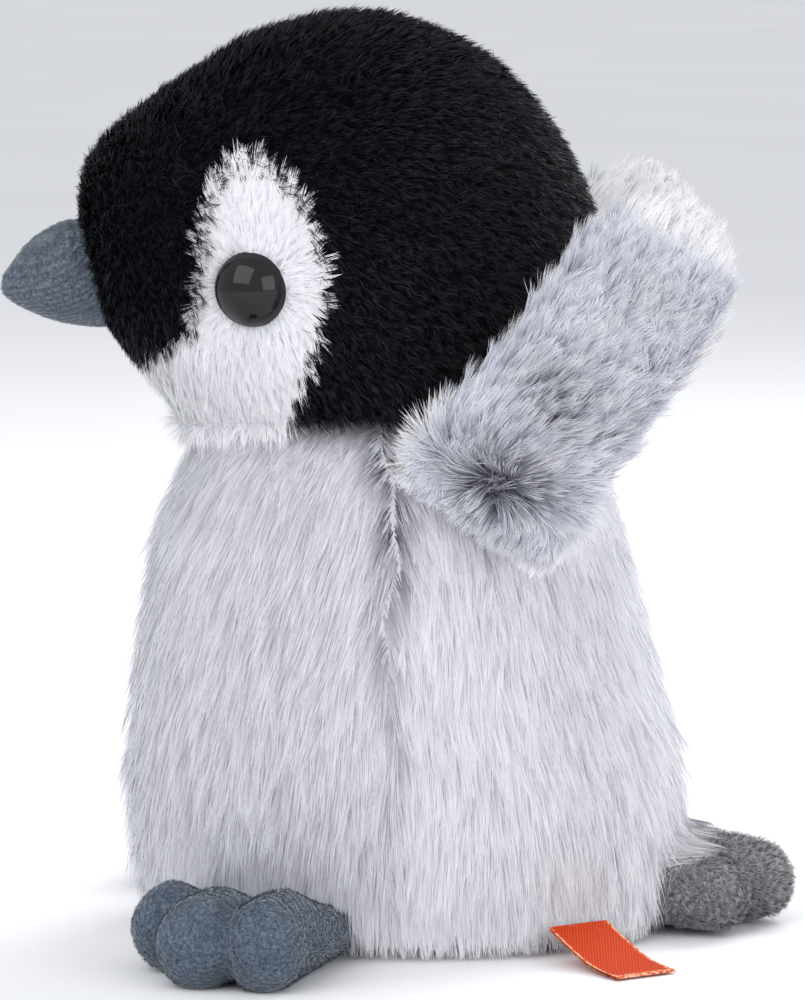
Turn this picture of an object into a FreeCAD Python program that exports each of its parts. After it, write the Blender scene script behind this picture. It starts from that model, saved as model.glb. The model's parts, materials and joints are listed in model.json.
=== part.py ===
"""Plush penguin chick: every fabric panel, filling, eye and washer is a solid of its own.

The toy faces -Y, its left side is +X, and +Z is up. The origin is on the ground, under the
middle of its body. All sizes are in millimetres.
"""

import FreeCAD, Part
import math
import os
from FreeCAD import Placement, Rotation, Vector

# Fabric and clearances
BODY_FABRIC = 4.0  # long pile, pressed flat, with its backing
HEAD_FABRIC = 3.0  # short pile with its backing
LIMB_FABRIC = 1.8  # short-pile velour of feet, tail and beak
WING_FABRIC = 2.6
BASE_FABRIC = 2.5
GAP = 0.6  # between parts of different bodies

# Torso
NECK_CENTRE = Vector(0, -2, 70)  # head and neck move about this point
NECK_RADIUS = 57.4  # the shoulders end on this sphere
SIDE_SEAM_Y = -2.0
NECK_FILLING_RADIUS = 32.0
NECK_FILLING_BOTTOM = 100.0
TORSO_LEVELS = (  # height, front, back, half width
    (0, -52.5, 60.5, 45.5),
    (4, -55.5, 63, 48),
    (14, -58.5, 63.5, 49.5),
    (30, -60, 62, 50.5),
    (50, -59, 58.5, 50),
    (70, -56.5, 53, 47.5),
    (86, -53.5, 49, 45),
    (100, -48.5, 45, 42.5),
    (116, -41, 37, 38),
)

# Head
HEAD_LEVELS = (
    (100, -46, 42, 41),
    (108, -47.5, 42, 41),
    (118, -54, 42.5, 43),
    (130, -64.5, 43.5, 45),
    (142, -69.5, 44, 46),
    (154, -70.5, 42.5, 45.5),
    (166, -68, 38, 42.5),
    (177, -57.5, 31, 36.5),
    (187, -43, 21.5, 28),
    (194, -31, 10, 19),
    (198, -18, -1, 8),
)
GUSSET_HALF_WIDTH = 15.0
CHIN_HALF_WIDTH = 13.0
WHITE_OUTLINE = (  # white area of the head seen from the side: back, height
    (-25.5, 96),
    (-25.5, 108),
    (-22.5, 119),
    (-18, 131),
    (-16.5, 143),
    (-19, 154.5),
    (-25, 162.5),
    (-33, 166),
    (-38, 162),
    (-40.5, 153),
    (-41.5, 142),
    (-43.5, 133.5),
    (-50, 127.5),
    (-59, 124),
    (-75, 122),
    (-75, 96),
)

# Beak
BEAK_LEVELS = (  # distance in front of the root, bottom, top, half width
    (0, 129.5, 155, 13.5),
    (6, 129.8, 154.8, 12.8),
    (12, 130.6, 153.5, 11),
    (17, 132, 151, 8.6),
    (21, 133.7, 147.6, 6),
    (24, 135.4, 143.6, 3.8),
    (26, 137.2, 140.8, 1.8),
)
BEAK_ROOT_Y = -60.0
BEAK_SEAM_ROOT_Z = 142.5
BEAK_SEAM_TIP_Z = 139.3

# Eyes
EYE_RADIUS = 8.0
EYE_HEIGHT = 5.2
EYE_PLACE = Vector(40.6, -32, 141.5)  # middle of the eye's flat back
EYE_FORWARD_DEG = 17.0
EYE_UP_DEG = 2.0
SHANK_RADIUS = 2.0
SHANK_LENGTH = 13.0
WASHER_RADIUS = 9.0
WASHER_THICKNESS = 1.4
WASHER_DEPTH = 4.6  # from the eye's flat back

# Wings: length runs up the raised wing, depth runs through its thickness
WING_ROOT = Vector(50.5, 18, 98)
WING_LEAN_BACK_DEG = 34.0
WING_LEAN_OUT_DEG = 8.0
WING_LEVELS = (  # distance from the root, half width, half thickness
    (-6.2, 17, 1.8),
    (-4.5, 19, 4.4),
    (0, 20.5, 6.4),
    (12, 20, 7.2),
    (30, 18.5, 7.2),
    (46, 18, 6.8),
    (59, 17, 6.0),
    (68, 13.5, 4.8),
    (73.5, 8.5, 3.2),
    (76, 3.2, 1.6),
)

# Feet
FOOT_ROOT = Vector(36, -25.5, 9)  # middle of the foot's root, at its hinge
FOOT_SPLAY_DEG = 65.0  # from straight ahead, outwards
TOE_RADIUS = 9.4
TOE_SPREAD_DEG = 9.0
TOE_LENGTHS = (36.0, 38.5, 25.0)  # outer, middle and inner toe, hinge to tip centre
TOE_ROOT_STEP = 8.9
FOOT_LIFT_DEG = 15.0

# Tail
TAIL_ROOT = Vector(0, 58, 10.5)
TAIL_LOBE_LENGTHS = (9.0, 19.0, 9.0)
TAIL_LOBE_SPREAD_DEG = 20.0
TAIL_LOBE_STEP = 11.0
TAIL_ROOT_RADIUS = 10.2
TAIL_TIP_RADIUS = 9.5
TAIL_LIFT_DEG = 25.0

# Label
LABEL_WIDTH = 15.0
LABEL_LENGTH = 26.0
LABEL_THICKNESS = 1.0
LABEL_ROOT = Vector(40.8, 37.5, 7.6)
LABEL_TURN_DEG = 33.0  # from straight out, towards the back
LABEL_FALL_DEG = 14.0  # its far end hangs down to the ground

UP = Vector(0, 0, 1)
FAR = 400.0
SECTION_POINTS = 20


def save(node, shape):
    shape.exportStep("parts/" + node + ".step")


def mirrored(shape):
    return shape.mirror(Vector(0, 0, 0), Vector(1, 0, 0))


def box(low, high):
    size = high - low
    return Part.makeBox(size.x, size.y, size.z, low)


def slab(x=(-FAR, FAR), y=(-FAR, FAR), z=(-FAR, FAR)):
    """A box that is open-ended along every direction that isn't named."""
    return box(Vector(x[0], y[0], z[0]), Vector(x[1], y[1], z[1]))


def oval_wire(height, front, back, half_width):
    """A closed smooth section at one height, front to back along Y."""
    middle = (front + back) / 2
    half_length = (back - front) / 2
    points = []
    for i in range(SECTION_POINTS):
        angle = 2 * math.pi * i / SECTION_POINTS
        points.append(
            Vector(half_width * math.cos(angle), middle + half_length * math.sin(angle), height)
        )
    curve = Part.BSplineCurve()
    curve.interpolate(Points=points, PeriodicFlag=True)
    return Part.Wire([curve.toShape()])


def stack(levels, inset=0.0):
    """A smooth solid through (height, front, back, half width) levels, shrunk by inset."""
    wires = []
    first, last = levels[0][0], levels[-1][0]
    for height, front, back, half_width in levels:
        share = (height - first) / (last - first)
        level = first + inset + share * (last - first - 2 * inset)
        room = min(inset, 0.75 * half_width, 0.37 * (back - front))
        wires.append(oval_wire(level, front + room, back - room, half_width - room))
    return Part.makeLoft(wires, True, False)


# Torso and neck


def torso_outer():
    body = stack(TORSO_LEVELS)
    shoulders = Part.makeSphere(NECK_RADIUS, NECK_CENTRE)
    return body.common(shoulders.fuse(slab(z=(-1, NECK_CENTRE.z))))


def torso_filling():
    levels = [
        (z, front + BODY_FABRIC, back - BODY_FABRIC, half - BODY_FABRIC)
        for z, front, back, half in TORSO_LEVELS
    ]
    return stack(levels)


def neck_filling():
    ball = Part.makeSphere(NECK_RADIUS, NECK_CENTRE)
    column = Part.makeCylinder(
        NECK_FILLING_RADIUS, FAR, Vector(NECK_CENTRE.x, NECK_CENTRE.y, NECK_FILLING_BOTTOM)
    )
    return ball.common(column)


def torso_parts(pockets):
    whole = torso_outer().cut(pockets)
    filling_space = torso_filling()
    skin = whole.cut(filling_space).common(slab(z=(BASE_FABRIC, FAR)))
    behind = skin.common(slab(y=(SIDE_SEAM_Y, FAR)))
    return {
        "torso_front_panel": skin.common(slab(y=(-FAR, SIDE_SEAM_Y))),
        "torso_back_left_panel": behind.common(slab(x=(0, FAR))),
        "torso_back_right_panel": behind.common(slab(x=(-FAR, 0))),
        "torso_base_panel": whole.common(slab(z=(-1, BASE_FABRIC))),
        "torso_stuffing": whole.common(filling_space).common(
            slab(z=(BASE_FABRIC, NECK_FILLING_BOTTOM - GAP))
        ),
    }


# Head


def eye_frame():
    """Placement that takes +Z to the way the left eye looks."""
    turn = Rotation(UP, -EYE_FORWARD_DEG)
    tilt = Rotation(Vector(0, 1, 0), 90 - EYE_UP_DEG)
    return Placement(EYE_PLACE, turn.multiply(tilt))


def eye_and_washer():
    cap_radius = (EYE_RADIUS**2 + EYE_HEIGHT**2) / (2 * EYE_HEIGHT)
    cap = Part.makeSphere(cap_radius, Vector(0, 0, EYE_HEIGHT - cap_radius))
    dome = cap.common(Part.makeCylinder(EYE_RADIUS, EYE_HEIGHT + 1))
    shank = Part.makeCylinder(SHANK_RADIUS, SHANK_LENGTH, Vector(0, 0, -SHANK_LENGTH))
    eye = dome.fuse(shank).removeSplitter()
    washer = Part.makeCylinder(
        WASHER_RADIUS, WASHER_THICKNESS, Vector(0, 0, -WASHER_DEPTH - WASHER_THICKNESS)
    ).cut(shank)
    for shape in (eye, washer):
        shape.Placement = eye_frame()
    return eye, washer


def white_area():
    curve = Part.BSplineCurve()
    curve.interpolate(
        Points=[Vector(-FAR, back, height) for back, height in WHITE_OUTLINE[1:-2]],
        PeriodicFlag=False,
    )
    corners = [Vector(-FAR, back, height) for back, height in WHITE_OUTLINE]
    edges = [curve.toShape()]
    tail = [corners[-3], corners[-2], corners[-1], corners[0], corners[1]]
    for start, end in zip(tail, tail[1:]):
        edges.append(Part.LineSegment(start, end).toShape())
    return Part.Face(Part.Wire(edges)).extrude(Vector(2 * FAR, 0, 0))


def head_parts():
    cup = Part.makeSphere(NECK_RADIUS + GAP, NECK_CENTRE)
    outer = stack(HEAD_LEVELS).cut(cup)
    inner = stack(HEAD_LEVELS, HEAD_FABRIC).cut(cup)
    eye, washer = eye_and_washer()
    eyes = eye.fuse(mirrored(eye))
    washers = washer.fuse(mirrored(washer))
    skin = outer.cut(inner).cut(eyes).cut(washers)
    white = white_area()
    pale = skin.common(white)
    black = skin.cut(white)
    parts = {
        "head_crown_gusset": black.common(slab(x=(-GUSSET_HALF_WIDTH, GUSSET_HALF_WIDTH))),
        "head_left_panel": black.common(slab(x=(GUSSET_HALF_WIDTH, FAR))),
        "head_right_panel": black.common(slab(x=(-FAR, -GUSSET_HALF_WIDTH))),
        "chin_panel": pale.common(slab(x=(-CHIN_HALF_WIDTH, CHIN_HALF_WIDTH))),
        "left_face_patch": pale.common(slab(x=(CHIN_HALF_WIDTH, FAR))),
        "right_face_patch": pale.common(slab(x=(-FAR, -CHIN_HALF_WIDTH))),
        "head_stuffing": inner.cut(eyes).cut(washers),
        "left_eye": eye,
        "right_eye": mirrored(eye),
        "left_eye_washer": washer,
        "right_eye_washer": mirrored(washer),
    }
    parts.update(beak_parts(outer))
    return parts


def beak_solid(inset):
    """The beak as a stack that grows forward, laid over so that its tip points along -Y."""
    levels = [(reach, low, high, half) for reach, low, high, half in BEAK_LEVELS]
    shape = stack(levels, inset)
    # stack's +Z becomes -Y, and its +Y becomes +Z
    shape.Placement = Placement(Vector(0, BEAK_ROOT_Y, 0), Rotation(Vector(1, 0, 0), 90))
    return shape


def beak_parts(head):
    outer = beak_solid(0).cut(head)
    inner = beak_solid(LIMB_FABRIC).cut(head)
    skin = outer.cut(inner)
    reach = BEAK_LEVELS[-1][0]
    seam = [
        Vector(-FAR, BEAK_ROOT_Y + 40, BEAK_SEAM_ROOT_Z),
        Vector(-FAR, BEAK_ROOT_Y, BEAK_SEAM_ROOT_Z),
        Vector(-FAR, BEAK_ROOT_Y - reach, BEAK_SEAM_TIP_Z),
        Vector(-FAR, BEAK_ROOT_Y - reach - 40, BEAK_SEAM_TIP_Z),
        Vector(-FAR, BEAK_ROOT_Y - reach - 40, BEAK_SEAM_TIP_Z - 40),
        Vector(-FAR, BEAK_ROOT_Y + 40, BEAK_SEAM_TIP_Z - 40),
    ]
    under = Part.Face(Part.makePolygon(seam + seam[:1])).extrude(Vector(2 * FAR, 0, 0))
    return {
        "beak_upper_panel": skin.cut(under),
        "beak_lower_panel": skin.common(under),
        "beak_stuffing": inner,
    }


# Limbs


def wing_frame():
    """Placement that takes +Z up the left wing, +X out of its outer face and +Y to its back edge."""
    back = Rotation(Vector(1, 0, 0), -WING_LEAN_BACK_DEG)
    out = Rotation(Vector(0, 1, 0), WING_LEAN_OUT_DEG)
    return Placement(WING_ROOT, back.multiply(out))


def wing_parts():
    levels = [(reach, -wide, wide, thick) for reach, wide, thick in WING_LEVELS]
    outer = stack(levels)
    inner = stack(levels, WING_FABRIC)
    skin = outer.cut(inner)
    parts = {
        "wing_outer_panel": skin.common(slab(x=(0, FAR))),
        "wing_inner_panel": skin.common(slab(x=(-FAR, 0))),
        "wing_stuffing": inner,
    }
    for shape in parts.values():
        shape.Placement = wing_frame()
    return parts


def finger(root, tip, root_radius, tip_radius):
    """A round-ended, tapering toe or tail lobe between two centres."""
    along = tip - root
    length = along.Length
    if root_radius == tip_radius:
        cone = Part.makeCylinder(root_radius, length, root, along)
    else:
        cone = Part.makeCone(root_radius, tip_radius, length, root, along)
    ends = Part.makeSphere(root_radius, root).fuse(Part.makeSphere(tip_radius, tip))
    return cone.fuse(ends)


def fan(root, heading_deg, lengths, step, spread_deg, root_radius, tip_radius, inset):
    """Three fingers side by side on a root bar, spread around a heading in the ground plane."""
    heading = math.radians(heading_deg)
    forward = Vector(math.sin(heading), -math.cos(heading), 0)
    across = Vector(-forward.y, forward.x, 0)
    shape = None
    for place, length in zip((1, 0, -1), lengths):
        angle = heading + place * math.radians(spread_deg)
        direction = Vector(math.sin(angle), -math.cos(angle), 0)
        start = root + across * (place * step)
        end = start + direction * length
        end.z = tip_radius - 0.5
        toe = finger(start, end, root_radius - inset, tip_radius - inset)
        shape = toe if shape is None else shape.fuse(toe)
    bar = finger(root - across * step, root + across * step, root_radius - inset, root_radius - inset)
    shape = shape.fuse(bar)
    return shape.common(slab(z=(inset, FAR))).removeSplitter()


def left_foot(inset):
    return fan(
        FOOT_ROOT, FOOT_SPLAY_DEG, TOE_LENGTHS, TOE_ROOT_STEP, TOE_SPREAD_DEG,
        TOE_RADIUS, TOE_RADIUS, inset,
    )


def tail(inset):
    return fan(
        TAIL_ROOT, 180, TAIL_LOBE_LENGTHS, TAIL_LOBE_STEP, TAIL_LOBE_SPREAD_DEG,
        TAIL_ROOT_RADIUS, TAIL_TIP_RADIUS, inset,
    )


def sewn_pad(outer, inner, upper_name, lower_name, stuffing_name, seam_height):
    skin = outer.cut(inner)
    return {
        upper_name: skin.common(slab(z=(seam_height, FAR))),
        lower_name: skin.common(slab(z=(-1, seam_height))),
        stuffing_name: inner,
    }


def swing_room(limb_root, heading_deg, reach, half_width, radius, lift_deg):
    """The space that a limb sweeps out of the torso as it lifts about its root."""
    room = radius + GAP
    rise = room + reach * math.tan(math.radians(lift_deg))
    profile = [
        Vector(0, -half_width, -limb_root.z - 1),
        Vector(reach, -half_width, -limb_root.z - 1),
        Vector(reach, -half_width, rise),
        Vector(0, -half_width, room / math.cos(math.radians(lift_deg))),
    ]
    wedge = Part.Face(Part.makePolygon(profile + profile[:1])).extrude(
        Vector(0, 2 * half_width, 0)
    )
    knuckle = Part.makeCylinder(
        room, 2 * half_width, Vector(0, -half_width, 0), Vector(0, 1, 0)
    )
    below = box(Vector(-room, -half_width, -limb_root.z - 1), Vector(0, half_width, 0))
    shape = wedge.fuse(knuckle).fuse(below)
    shape.Placement = Placement(limb_root, Rotation(UP, heading_deg - 90))
    return shape


def label_frame():
    """Placement that takes +X along the label, away from the body, and +Z to its upper face."""
    fall = Rotation(Vector(0, 1, 0), LABEL_FALL_DEG)
    return Placement(LABEL_ROOT, Rotation(UP, LABEL_TURN_DEG).multiply(fall))


def label():
    strip = Part.makeBox(
        LABEL_LENGTH, LABEL_WIDTH, LABEL_THICKNESS, Vector(0, -LABEL_WIDTH / 2, -LABEL_THICKNESS)
    )
    fold = Part.makeCylinder(
        LABEL_THICKNESS / 2, LABEL_WIDTH,
        Vector(LABEL_LENGTH, -LABEL_WIDTH / 2, -LABEL_THICKNESS / 2), Vector(0, 1, 0),
    )
    shape = strip.fuse(fold).removeSplitter()
    shape.Placement = label_frame()
    return shape


def label_slot():
    room = 2 * GAP
    slot = Part.makeBox(
        LABEL_LENGTH + 6, LABEL_WIDTH + room, LABEL_THICKNESS + 4,
        Vector(-1, -(LABEL_WIDTH + room) / 2, -2.6),
    )
    slot.Placement = label_frame()
    return slot


def limb_pockets():
    foot_half = TOE_ROOT_STEP + TOE_RADIUS + 4
    foot = swing_room(FOOT_ROOT, FOOT_SPLAY_DEG, 60, foot_half, TOE_RADIUS, FOOT_LIFT_DEG)
    tail_half = TAIL_LOBE_STEP + TAIL_ROOT_RADIUS + 3
    back = swing_room(TAIL_ROOT, 180, 60, tail_half, TAIL_ROOT_RADIUS, TAIL_LIFT_DEG)
    return foot.fuse(mirrored(foot)).fuse(back).fuse(label_slot())


def main():
    os.makedirs("parts", exist_ok=True)
    parts = torso_parts(limb_pockets())
    parts["neck_stuffing"] = neck_filling()
    parts.update(head_parts())
    for name, shape in wing_parts().items():
        parts["left_" + name] = shape
        parts["right_" + name] = mirrored(shape)
    foot = sewn_pad(
        left_foot(0), left_foot(LIMB_FABRIC), "foot_upper", "foot_sole", "foot_stuffing", 6.0
    )
    for name, shape in foot.items():
        parts["left_" + name] = shape
        parts["right_" + name] = mirrored(shape)
    parts.update(
        sewn_pad(
            tail(0), tail(LIMB_FABRIC),
            "tail_upper_panel", "tail_lower_panel", "tail_stuffing", 7.0,
        )
    )
    parts["side_label"] = label()
    for node, shape in parts.items():
        solids = shape.Solids
        print(node, len(solids), round(shape.Volume / 1000, 2), shape.isValid())
        save(node, shape if len(solids) != 1 else solids[0])


main()
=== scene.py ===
"""Looks of the plush penguin chick.

Every padded part but the neck padding is a smooth fabric skin, swollen by a short cloth
simulation, and its pile is real geometry: thin tapering strands that are grown from the skin,
combed and clumped.
"""

import json
import math

import bmesh
import bpy
import numpy as np
from mathutils import Matrix, Vector
from mathutils.bvhtree import BVHTree
from mathutils.kdtree import KDTree


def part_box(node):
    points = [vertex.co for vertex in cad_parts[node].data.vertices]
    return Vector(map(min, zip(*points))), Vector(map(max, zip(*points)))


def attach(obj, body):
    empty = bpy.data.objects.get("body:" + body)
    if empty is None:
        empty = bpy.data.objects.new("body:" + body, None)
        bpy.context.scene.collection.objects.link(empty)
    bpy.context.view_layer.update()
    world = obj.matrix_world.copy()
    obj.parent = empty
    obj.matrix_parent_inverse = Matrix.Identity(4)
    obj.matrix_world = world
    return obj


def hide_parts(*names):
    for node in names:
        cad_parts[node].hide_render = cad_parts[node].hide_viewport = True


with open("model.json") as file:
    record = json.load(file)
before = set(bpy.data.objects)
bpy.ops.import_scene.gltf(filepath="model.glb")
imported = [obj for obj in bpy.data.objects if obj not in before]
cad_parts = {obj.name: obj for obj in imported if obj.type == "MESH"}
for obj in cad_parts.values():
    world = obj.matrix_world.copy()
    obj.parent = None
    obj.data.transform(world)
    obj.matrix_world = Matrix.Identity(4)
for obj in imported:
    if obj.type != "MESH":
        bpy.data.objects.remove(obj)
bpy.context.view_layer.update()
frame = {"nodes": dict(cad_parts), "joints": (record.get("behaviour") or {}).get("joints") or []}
NODES = frame["nodes"]
JOINTS = {joint["name"]: joint for joint in frame["joints"]}
MM = 0.001
UP = np.array([0.0, 0.0, 1.0])
SIM_SCALE = 10.0  # small pieces are simulated this much larger, where cloth is steadier
SIM_FRAMES = 20
TINY = 1e-12  # keeps a division from being by nothing

# Camera and framing
CAMERA_DISTANCE = 1.2
CAMERA_HEIGHT = 0.232
PICTURE_HEIGHT = 0.216  # height of the view in the toy's middle plane
AIM = Vector((0, 0.0005, 0.0924))
NEAREST_SEEN = 0.05
FLOOR_SIZE = 40.0

# The label's ribbon
LABEL_WIDTH = 15 * MM
LABEL_REACH = 25 * MM  # how far it comes out, as it falls to the ground
LABEL_ROWS = 40  # rows of corners in each of its two layers
LABEL_COLUMNS = 13
LAYER_LIFT = 0.26 * MM  # how far each layer is from the middle between them
FOLD_START = 0.97  # from this share of the reach on, the two layers close into the fold

# Feet and tail
INSTEP_DROP = 6 * MM  # how much lower a foot is at its root than at its toes
GROUND_GAP = 0.15 * MM

# ---------------------------------------------------------------- meshes


def joint_place(name):
    return np.array(JOINTS[name]["pos_m"])


def joint_axis(name):
    return unit(np.array(JOINTS[name]["axis"], float))


def joined(names):
    """A new mesh with copies of those CAD nodes."""
    bm = bmesh.new()
    for name in names:
        bm.from_mesh(NODES[name].data)
    mesh = bpy.data.meshes.new("joined")
    bm.to_mesh(mesh)
    bm.free()
    return mesh


def add(name, data):
    obj = bpy.data.objects.new(name, data)
    bpy.context.scene.collection.objects.link(obj)
    return obj


def applied(obj):
    """The object with its modifiers applied."""
    depsgraph = bpy.context.evaluated_depsgraph_get()
    mesh = bpy.data.meshes.new_from_object(obj.evaluated_get(depsgraph))
    old = obj.data
    obj.modifiers.clear()
    obj.data = mesh
    bpy.data.meshes.remove(old)
    return obj


def remeshed(name, mesh, voxel, rounds):
    """A closed, even, smoothed skin around a mesh."""
    obj = add(name, mesh)
    remesh = obj.modifiers.new("remesh", "REMESH")
    remesh.mode = "VOXEL"
    remesh.voxel_size = voxel
    smooth = obj.modifiers.new("smooth", "SMOOTH")
    smooth.factor = 0.5
    smooth.iterations = rounds
    return applied(obj)


def hull(mesh):
    """The convex hull of a mesh, in place."""
    bm = bmesh.new()
    bm.from_mesh(mesh)
    made = bmesh.ops.convex_hull(bm, input=bm.verts)
    loose = [v for v in made["geom_interior"] if isinstance(v, bmesh.types.BMVert)]
    bmesh.ops.delete(bm, geom=loose, context="VERTS")
    kept = {f for f in made["geom"] if isinstance(f, bmesh.types.BMFace)}
    bmesh.ops.delete(bm, geom=[f for f in bm.faces if f not in kept], context="FACES_ONLY")
    bmesh.ops.recalc_face_normals(bm, faces=bm.faces)
    bm.to_mesh(mesh)
    bm.free()
    return mesh


def points_of(obj):
    out = np.empty(len(obj.data.vertices) * 3)
    obj.data.vertices.foreach_get("co", out)
    return out.reshape(-1, 3)


def normals_of(obj):
    out = np.empty(len(obj.data.vertices) * 3, np.float32)
    obj.data.vertex_normals.foreach_get("vector", out)
    return out.reshape(-1, 3).astype(float)


def set_points(obj, points):
    obj.data.vertices.foreach_set("co", np.ascontiguousarray(points, float).ravel())
    obj.data.update()
    return obj


def unit(v):
    return v / np.maximum(np.linalg.norm(v, axis=-1, keepdims=True), TINY)


def bell(distance, width):
    """1 at no distance, fading smoothly to nothing over a few widths."""
    return np.exp(-((distance / width) ** 2))


def shrink(obj, depth):
    return set_points(obj, points_of(obj) - normals_of(obj) * depth)


def smoothed(obj):
    obj.data.shade_smooth()
    return obj


def inflate(obj, pressure, cap, pinned):
    """Swells a closed skin with cloth pressure, by cap at most.

    pinned is a function that says of points whether the skin is held there.
    """
    start = points_of(obj)
    set_points(obj, start * SIM_SCALE)
    cloth = obj.modifiers.new("cloth", "CLOTH")
    settings = cloth.settings
    settings.quality = 4
    settings.mass = 0.3
    settings.tension_stiffness = 12
    settings.compression_stiffness = 12
    settings.bending_stiffness = 0.6
    settings.use_pressure = True
    settings.uniform_pressure_force = pressure
    settings.effector_weights.gravity = 0
    group = obj.vertex_groups.new(name="pin")
    for i in np.flatnonzero(pinned(start)):
        group.add([int(i)], 1.0, "REPLACE")
    settings.vertex_group_mass = "pin"
    scene = bpy.context.scene
    for number in range(1, SIM_FRAMES + 1):
        scene.frame_set(number)
    applied(obj)
    obj.vertex_groups.clear()
    moved = points_of(obj) / SIM_SCALE - start
    far = np.linalg.norm(moved, axis=1, keepdims=True)
    moved *= np.minimum(1, cap / np.maximum(far, TINY))
    set_points(obj, start + moved)
    scene.frame_set(1)
    return obj


# ---------------------------------------------------------------- pile

ROUND_SHADE = 0.18  # how far a strand's two edges turn away, so that it is shaded as round
RINGS = (0.0, 0.38, 0.74)  # where a strand has two corners; it ends in one at its tip
SHORT_RINGS = (0.0, 0.5)  # the same for fuzz
LEAST_CLUMPS = 40
LEAST_IN_CLUMP = 3
RAGGED = 0.25  # how much lengths differ from clump to clump, and again within one
OWN_WANDER = 0.35  # how much a strand strays from its clump, for each unit of wander
CLUMP_TILT = 0.12  # in radians, like the next two
OWN_TILT = 0.10
TIP_TILT = 0.15
PULL_POWER = 1.6  # clumps close mostly towards their tips
NARROWING = 0.55  # how much of its width a strand would lose up to its tip
WIDTHS = (0.7, 1.2)  # the thinnest and the broadest strand, as shares of the given width


class Skin:
    """The triangles of a skin that a pile grows from."""

    def __init__(self, obj):
        mesh = obj.data
        mesh.calc_loop_triangles()
        tris = np.empty(len(mesh.loop_triangles) * 3, np.int32)
        mesh.loop_triangles.foreach_get("vertices", tris)
        self.tris = tris.reshape(-1, 3)
        self.points = points_of(obj)
        self.normals = normals_of(obj)
        a, b, c = (self.points[self.tris[:, k]] for k in range(3))
        self.areas = np.linalg.norm(np.cross(b - a, c - a), axis=1) / 2
        self.centres = (a + b + c) / 3
        self.facing = unit(self.normals[self.tris].sum(axis=1))

    def nearest_panel(self, names):
        """For each triangle, the index of the CAD panel that it is nearest to."""
        trees = [tree_of(name) for name in names]
        out = np.zeros(len(self.centres), int)
        for i, centre in enumerate(self.centres):
            gaps = [tree.find_nearest(centre)[3] for tree in trees]
            out[i] = gaps.index(min(gaps))
        return out

    def scatter(self, weights, count, rng):
        """Points and normals spread over the skin by area times weight."""
        chance = self.areas * weights
        chosen = rng.choice(len(chance), count, p=chance / chance.sum())
        u, v = rng.random((2, count, 1))
        flip = u + v > 1
        u, v = np.where(flip, 1 - u, u), np.where(flip, 1 - v, v)
        mix = np.stack([1 - u - v, u, v], axis=1)
        corner = self.tris[chosen]
        points = (self.points[corner] * mix).sum(axis=1)
        normals = unit((self.normals[corner] * mix).sum(axis=1))
        return points, normals


def face_values(obj, surface, per_triangle):
    """The mean over each polygon of a value that is given for each triangle."""
    owners = np.empty(len(surface.tris), np.int32)
    obj.data.loop_triangles.foreach_get("polygon_index", owners)
    number = len(obj.data.polygons)
    total = np.bincount(owners, per_triangle, number)
    return total / np.maximum(np.bincount(owners, minlength=number), 1)


def clumps(points, size, rng):
    """Clump centres that are about size apart, and the index of each point's own centre."""
    spread = points.max(axis=0) - points.min(axis=0)
    box_area = 2 * (spread[0] * spread[1] + spread[1] * spread[2] + spread[0] * spread[2])
    number = int(min(len(points) / LEAST_IN_CLUMP, max(LEAST_CLUMPS, box_area / (size * size))))
    centres = points[rng.choice(len(points), number, replace=False)]
    tree = KDTree(number)
    for i, centre in enumerate(centres):
        tree.insert(centre, i)
    tree.balance()
    return centres, np.array([tree.find(p)[1] for p in points])


def each(value, roots):
    """A value for each root, from a plain number or a function of the roots."""
    return value(roots) if callable(value) else np.full(len(roots), value)


def across_normals(vectors, normals):
    """The part of each vector that lies along the skin."""
    return vectors - (vectors * normals).sum(axis=1, keepdims=True) * normals


def bent_lines(roots, normals, tangent, size, angle, last, stops):
    """Each strand's place at each stop, as it bends from one angle above the skin to another."""
    lines = [roots]
    for low, high in zip(stops, stops[1:]):
        middle = (low + high) / 2
        bend = angle + (last - angle) * middle
        step = tangent * np.cos(bend)[:, None] + normals * np.sin(bend)[:, None]
        lines.append(lines[-1] + step * (size * (high - low))[:, None])
    return lines


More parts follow.
